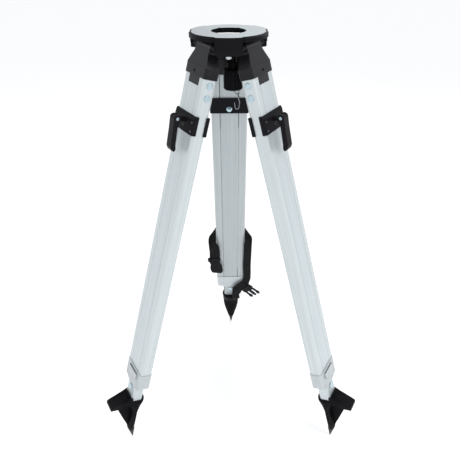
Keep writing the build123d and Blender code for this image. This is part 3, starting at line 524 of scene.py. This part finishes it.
def make_strap():
    """Webbing, slider, both halves of the side-release buckle and the anchors' plastic on the rear leg."""
    matrix = LEG_FRAMES["rear"]
    weave = webbing_material()
    plastic = moulded("buckle_plastic", (0.008, 0.008, 0.010), 0.3, grain_scale=2000.0)
    across = (1, 0, 0)
    flat = (0, 1, 0)
    left = [((0, 48.6, -609), across), ((-7, 51, -619), (1, 0.6, 0)), ((-17, 55.5, -633), (0.5, 1, 0)),
            ((-22, 54.5, -654), flat), ((-22, 53, -690), flat), ((-22, 54, -728), flat)]
    back = [((-22.6, 50, -636), (0.1, 1, 0)), ((-24, 48.5, -655), (0, 1, 0.05)),
            ((-24.2, 45.5, -686), (0, 1, 0.1)), ((-24.2, 46, -714), flat)]
    right = [((0, -48.6, -609), across), ((-7, -51, -619), (1, -0.6, 0)), ((-17, -55.5, -633), (0.5, -1, 0)),
             ((-21.8, -54, -654), (0.05, -1, 0)), ((-21.8, -53.5, -705), (0, -1, 0)),
             ((-21.8, -53, -755), (0, -1, 0.04)), ((-22, -54, -800), (0, -1, -0.05)),
             ((-22.6, -53, -828), (0, -1, -0.25)), ((-24, -45, -845), (0, -0.75, -0.65)),
             ((-25.4, -32, -857), (0, -0.6, -0.8)), ((-27.2, -20, -873), (0, -0.85, -0.5)),
             ((-28.8, -17, -898), (0, -1, -0.1)), ((-29.2, -18.5, -926), (0, -1, 0.15))]
    fold = [((-23.6, -58, -838), (0, -0.95, -0.3)), ((-24.8, -50, -856), (0, -0.7, -0.7)),
            ((-25.8, -38, -868), (0, -0.6, -0.8)), ((-27.2, -26, -880), (0, -0.8, -0.6)),
            ((-28.2, -21, -896), (0, -1, -0.2))]
    loop = [((-24.4, -38, -850), (0, -0.8, 0.6)), ((-24.4, -43, -858), (0, -0.77, 0.64)),
            ((-24.4, -50, -868), (0, -0.77, 0.64))]
    webbing("strap_left", matrix, left, weave, "rear_upper", "strap_webbing_left")
    webbing("strap_left_return", matrix, back, weave, "rear_upper", None)
    webbing("strap_right", matrix, right, weave, "rear_upper", "strap_webbing_right")
    webbing("strap_right_fold", matrix, fold, weave, "rear_upper", None)
    webbing("strap_plug_loop", matrix, loop, weave, "rear_upper", None)
    make_socket(matrix, plastic)
    make_plug(matrix, plastic)
    dress("strap_anchors", moulded("anchor_plastic", (0.007, 0.007, 0.009), 0.42), 0.5 * MM)


def make_socket(matrix, plastic):
    """Female half: a waisted body, and the slider bar over the webbing at its upper end."""
    shape = bmesh.new()
    body = [(13.5, -18), (16.2, -21), (14.8, -27), (16.2, -36), (19, -44), (19.2, -58), (17, -68), (11, -71),
            (-9, -76), (-16, -74), (-19, -66), (-19, -44), (-16.2, -36), (-14.8, -27), (-16.2, -21),
            (-13.5, -18)]
    outline_block(shape, body, *SOCKET_DEPTH)
    place = leg_place(matrix, SOCKET_PLACE, SOCKET_TURN)
    bmesh.ops.transform(shape, matrix=place, verts=shape.verts)
    item = finished_object("buckle_socket", shape, plastic, "rear_upper", smooth=False)
    soften(item, 1.6 * MM, segments=3)
    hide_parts("strap_buckle_socket")
    ladder = bmesh.new()
    bar = mirror_outline([(17, 0), (20, -3), (20, -12), (17.2, -16), (13.5, -19)])
    outline_block(ladder, bar, *SLIDER_DEPTH)
    bmesh.ops.transform(ladder, matrix=place, verts=ladder.verts)
    slider = finished_object("buckle_slider", ladder, plastic, "rear_upper", smooth=False)
    soften(slider, 1.3 * MM, segments=3)


def make_plug(matrix, plastic):
    """Male half: a body, a middle tongue and two springy side prongs with spade tips."""
    shape = bmesh.new()
    body = mirror_outline([(11, 1), (14.5, -2), (15.5, -12), (14.5, -18), (9, -20)])
    outline_block(shape, body, *PLUG_DEPTH)
    outline_block(shape, mirror_outline([(4.2, -17), (3.8, -42), (2.6, -50)]), *TONGUE_DEPTH)
    prong = [(14, -16), (15.2, -30), (15, -36), (17, -41), (16.2, -47), (12.5, -51),
             (8.6, -48), (7.8, -43), (9.6, -37), (9.6, -30), (8.6, -18)]
    for side in (-1, 1):
        outline_block(shape, [(side * a, b) for a, b in prong], *PRONG_DEPTH)
    place = leg_place(matrix, PLUG_PLACE, PLUG_TURN) @ Matrix.Diagonal(PLUG_SCALE)
    bmesh.ops.transform(shape, matrix=place, verts=shape.verts)
    item = finished_object("buckle_plug", shape, plastic, "rear_upper", smooth=False)
    soften(item, 1.0 * MM, segments=3)
    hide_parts("strap_buckle_plug")


# ---- instrument screw ----
SCREW_RADIUS = 7.94 * MM
THREAD_PITCH = 2.309 * MM
THREAD_DEPTH = 1.25 * MM
THREAD_STEPS = 48
ROWS_PER_TURN = 8
TIP_SCALE = 0.8  # the thread narrows to this part of its radius
TIP_RUN = 2 * THREAD_PITCH
SHOULDER_RADIUS = 11 * MM
SHOULDER_HEIGHT = 2.9 * MM
SHOULDER_LIFT = 1.55 * MM  # from the thrust washer's top to the shoulder's middle
SHOULDER_STEPS = 64


def make_screw():
    """Instrument screw threaded from the knob to its narrowed tip, with a shoulder above the washer."""
    low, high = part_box("instrument_screw")
    knob_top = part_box("screw_knob")[1].z
    middle = (low + high) / 2
    steel = plated("screw_black_oxide", (0.05, 0.05, 0.054), 0.36)
    shape = bmesh.new()
    rows = int((high.z - knob_top) / THREAD_PITCH * ROWS_PER_TURN)
    rings = []
    for row in range(rows + 1):
        z = knob_top + (high.z - knob_top) * row / rows
        fade = min(max((high.z - z) / TIP_RUN, 0.0), 1.0)
        ring = []
        for step in range(THREAD_STEPS):
            angle = 2 * math.pi * step / THREAD_STEPS
            phase = ((z / THREAD_PITCH) - step / THREAD_STEPS) % 1.0
            depth = THREAD_DEPTH * abs(2 * phase - 1)
            radius = (SCREW_RADIUS - depth) * (TIP_SCALE + (1 - TIP_SCALE) * fade)
            x = middle.x + radius * math.cos(angle)
            y = middle.y + radius * math.sin(angle)
            ring.append(shape.verts.new((x, y, z)))
        rings.append(ring)
    for ring, beyond in zip(rings, rings[1:]):
        join_rings(shape, ring, beyond)
    shape.faces.new(rings[-1])
    shape.faces.new(list(reversed(rings[0])))
    item = finished_object("instrument_screw_thread", shape, steel, "screw", smooth=False)
    collar = bmesh.new()
    washer_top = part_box("thrust_washer")[1].z
    bmesh.ops.create_cone(collar, cap_ends=True, segments=SHOULDER_STEPS, radius1=SHOULDER_RADIUS,
                          radius2=SHOULDER_RADIUS, depth=SHOULDER_HEIGHT)
    bmesh.ops.translate(collar, verts=collar.verts, vec=(middle.x, middle.y, washer_top + SHOULDER_LIFT))
    shoulder = finished_object("instrument_screw_shoulder", collar, steel, "screw", smooth=False)
    soften(shoulder, 0.4 * MM)
    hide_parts("instrument_screw")


# ---- stage, light and camera ----
FLOOR_Z = CAD_BOX[0].z
FLOOR_HALF = 30.0
FLOOR_COLOR = (0.93, 0.93, 0.93)
FLOOR_ROUGHNESS = 0.8
FLOOR_GLOW = 0.28
WORLD_COLOR = (0.97, 0.985, 1.0, 1.0)
WORLD_STRENGTH = 0.75
LIGHTS = (  # name, place, target, power in watts, side in metres
    ("key", (1.5, -0.9, 0.95), (0, 0, -0.3), 12, 1.0),
    ("fill", (-2.0, -1.4, 0.9), (0, 0, -0.5), 7, 1.6),
    ("rim", (0.4, 2.2, 1.4), (0, 0, -0.4), 12, 1.4),
)

# the pinhole camera fitted to the photo: angles in radians, lens and sensor in millimetres
CAMERA_PLACE = Vector((0.0047, -1.1042, 0.1818))
CAMERA_PITCH = math.radians(59.09)
CAMERA_ROLL = -0.0068
CAMERA_TURN = 0.0042
CAMERA_LENS = 39.515
CAMERA_SENSOR = 36.0


def make_stage():
    """A pale floor that glows a little, so that it reads as the photo's white ground."""
    mesh = bpy.data.meshes.new("floor")
    shape = bmesh.new()
    bmesh.ops.create_grid(shape, x_segments=1, y_segments=1, size=FLOOR_HALF)
    shape.to_mesh(mesh)
    shape.free()
    floor = bpy.data.objects.new("floor", mesh)
    floor.location.z = FLOOR_Z
    bpy.context.scene.collection.objects.link(floor)
    nodes = Nodes("floor_pale", FLOOR_COLOR, FLOOR_ROUGHNESS)
    nodes.set(nodes.shader, "Emission Color", (1.0, 1.0, 1.0, 1.0))
    nodes.set(nodes.shader, "Emission Strength", FLOOR_GLOW)
    mesh.materials.append(nodes.material)


def make_light(name, place, target, energy, size):
    """A square area light aimed at a target."""
    light = bpy.data.lights.new(name, "AREA")
    light.energy = energy
    light.size = size
    item = bpy.data.objects.new(name, light)
    item.location = place
    item.rotation_mode = "QUATERNION"
    item.rotation_quaternion = (Vector(target) - Vector(place)).to_track_quat("-Z", "Y")
    bpy.context.scene.collection.objects.link(item)


def make_lights():
    world = bpy.data.worlds.new("studio")
    world.use_nodes = True
    back = world.node_tree.nodes["Background"]
    back.inputs["Color"].default_value = WORLD_COLOR
    back.inputs["Strength"].default_value = WORLD_STRENGTH
    bpy.context.scene.world = world
    for name, place, target, energy, size in LIGHTS:
        make_light(name, place, target, energy, size)
    bpy.context.scene.view_settings.view_transform = "Standard"


def make_camera():
    camera = bpy.data.cameras.new("camera")
    camera.lens = CAMERA_LENS
    camera.sensor_width = CAMERA_SENSOR
    item = bpy.data.objects.new("camera", camera)
    turn = Matrix.Rotation(CAMERA_TURN, 4, "Z") @ Matrix.Rotation(CAMERA_PITCH, 4, "X")
    item.matrix_world = Matrix.Translation(CAMERA_PLACE) @ turn @ Matrix.Rotation(CAMERA_ROLL, 4, "Z")
    bpy.context.scene.collection.objects.link(item)
    bpy.context.scene.camera = item


make_camera()
make_stage()
make_lights()
dress_head()
dress_legs()
make_strap()
make_screw()
